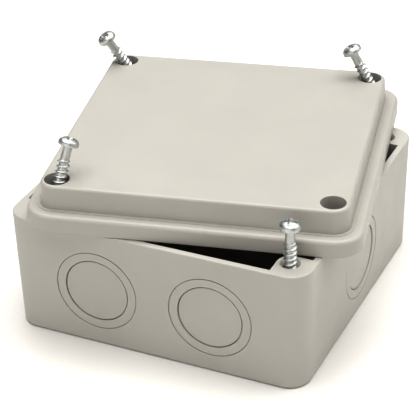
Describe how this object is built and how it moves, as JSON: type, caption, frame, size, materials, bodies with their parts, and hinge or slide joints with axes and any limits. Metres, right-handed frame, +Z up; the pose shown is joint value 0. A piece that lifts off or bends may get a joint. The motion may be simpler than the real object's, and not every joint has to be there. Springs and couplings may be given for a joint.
{
  "type": "electrical junction box",
  "caption": "Square moulded junction box with a loose cap lid, lid screws leaning in their wells and breakaway conduit entries in its walls.",
  "frame": {"origin": "centre of the underside of the box", "axes": "+X to the right along the front wall, +Y to the back, +Z up out of the box"},
  "size_m": [0.1159, 0.116, 0.0645],
  "materials": {
    "box_plastic": "satin warm grey",
    "lid_plastic": "satin warm grey",
    "screw_zinc": "bright zinc",
    "gasket_rubber": "matt black"
  },
  "bodies": {
    "box": {"base_enclosure": "box_plastic"},
    "lid_assembly": {"lid": "lid_plastic", "lid_gasket": "gasket_rubber"},
    "screw_front_left": {"lid_screw_front_left": "screw_zinc"},
    "screw_back_left": {"lid_screw_back_left": "screw_zinc"},
    "screw_back_right": {"lid_screw_back_right": "screw_zinc"},
    "screw_front_right": {"lid_screw_front_right": "screw_zinc"},
    "ring_front_left": {"knockout_ring_front_left": "box_plastic"},
    "disc_front_left": {"knockout_disc_front_left": "box_plastic"},
    "ring_front_right": {"knockout_ring_front_right": "box_plastic"},
    "disc_front_right": {"knockout_disc_front_right": "box_plastic"},
    "ring_right_side": {"knockout_ring_right_side": "box_plastic"},
    "disc_right_side": {"knockout_disc_right_side": "box_plastic"},
    "ring_back_right": {"knockout_ring_back_right": "box_plastic"},
    "disc_back_right": {"knockout_disc_back_right": "box_plastic"},
    "ring_back_left": {"knockout_ring_back_left": "box_plastic"},
    "disc_back_left": {"knockout_disc_back_left": "box_plastic"},
    "ring_left_side": {"knockout_ring_left_side": "box_plastic"},
    "disc_left_side": {"knockout_disc_left_side": "box_plastic"}
  },
  "joints": [
    {"name": "lid_lift", "type": "slide", "parent": "box", "child": "lid_assembly", "axis": [0, 0, 1], "range_m": [0, 0.06]},
    {"name": "screw_front_left_draw", "type": "slide", "parent": "lid_assembly", "child": "screw_front_left", "axis": [0.1427, 0.3626, 0.921], "range_m": [0, 0.03]},
    {"name": "screw_back_left_draw", "type": "slide", "parent": "lid_assembly", "child": "screw_back_left", "axis": [-0.3801, -0.3296, 0.8642], "range_m": [0, 0.03]},
    {"name": "screw_back_right_draw", "type": "slide", "parent": "lid_assembly", "child": "screw_back_right", "axis": [-0.4553, -0.1046, 0.8842], "range_m": [0, 0.03]},
    {"name": "screw_front_right_drive", "type": "slide", "parent": "box", "child": "screw_front_right", "axis": [0, 0, 1], "range_m": [-0.01145, 0.03]},
    {"name": "ring_front_left_push", "type": "slide", "parent": "box", "child": "ring_front_left", "axis": [0, 0.9999, 0.0159], "range_m": [0, 0.01]},
    {"name": "disc_front_left_push", "type": "slide", "parent": "ring_front_left", "child": "disc_front_left", "axis": [0, 0.9999, 0.0159], "range_m": [0, 0.01]},
    {"name": "ring_front_right_push", "type": "slide", "parent": "box", "child": "ring_front_right", "axis": [0, 0.9999, 0.0159], "range_m": [0, 0.01]},
    {"name": "disc_front_right_push", "type": "slide", "parent": "ring_front_right", "child": "disc_front_right", "axis": [0, 0.9999, 0.0159], "range_m": [0, 0.01]},
    {"name": "ring_right_side_push", "type": "slide", "parent": "box", "child": "ring_right_side", "axis": [-0.9999, 0, 0.0159], "range_m": [0, 0.01]},
    {"name": "disc_right_side_push", "type": "slide", "parent": "ring_right_side", "child": "disc_right_side", "axis": [-0.9999, 0, 0.0159], "range_m": [0, 0.01]},
    {"name": "ring_back_right_push", "type": "slide", "parent": "box", "child": "ring_back_right", "axis": [0, -0.9999, 0.0159], "range_m": [0, 0.01]},
    {"name": "disc_back_right_push", "type": "slide", "parent": "ring_back_right", "child": "disc_back_right", "axis": [0, -0.9999, 0.0159], "range_m": [0, 0.01]},
    {"name": "ring_back_left_push", "type": "slide", "parent": "box", "child": "ring_back_left", "axis": [0, -0.9999, 0.0159], "range_m": [0, 0.01]},
    {"name": "disc_back_left_push", "type": "slide", "parent": "ring_back_left", "child": "disc_back_left", "axis": [0, -0.9999, 0.0159], "range_m": [0, 0.01]},
    {"name": "ring_left_side_push", "type": "slide", "parent": "box", "child": "ring_left_side", "axis": [0.9999, 0, 0.0159], "range_m": [0, 0.01]},
    {"name": "disc_left_side_push", "type": "slide", "parent": "ring_left_side", "child": "disc_left_side", "axis": [0.9999, 0, 0.0159], "range_m": [0, 0.01]}
  ]
}
